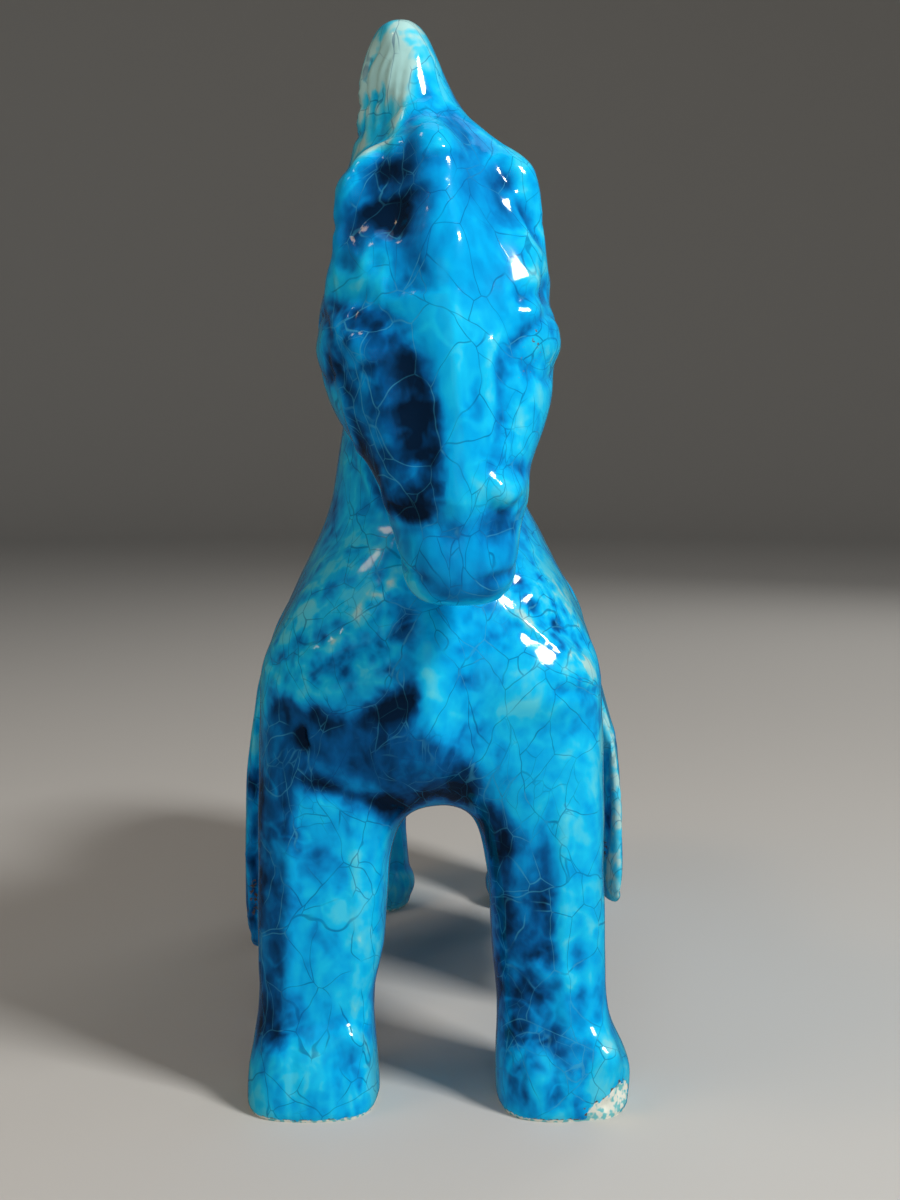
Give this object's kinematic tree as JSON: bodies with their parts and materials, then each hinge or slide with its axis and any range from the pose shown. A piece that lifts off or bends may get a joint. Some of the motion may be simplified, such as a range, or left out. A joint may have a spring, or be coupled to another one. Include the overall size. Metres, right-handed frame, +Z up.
{
  "type": "ceramic horse figure",
  "caption": "Standing horse figure of glazed earthenware, head bowed and turned a little, with a saddle and a long saddle cloth.",
  "frame": {"origin": "on the ground, under the middle of the horse's box", "axes": "the horse faces -Y, its left side is +X, and +Z is up"},
  "size_m": [0.1066, 0.2442, 0.2621],
  "materials": {
    "glaze": "glossy turquoise-blue crackle glaze, pooled dark in the hollows and thin and pale on the edges"
  },
  "bodies": {
    "root": {"horse": "glaze"}
  },
  "joints": []
}
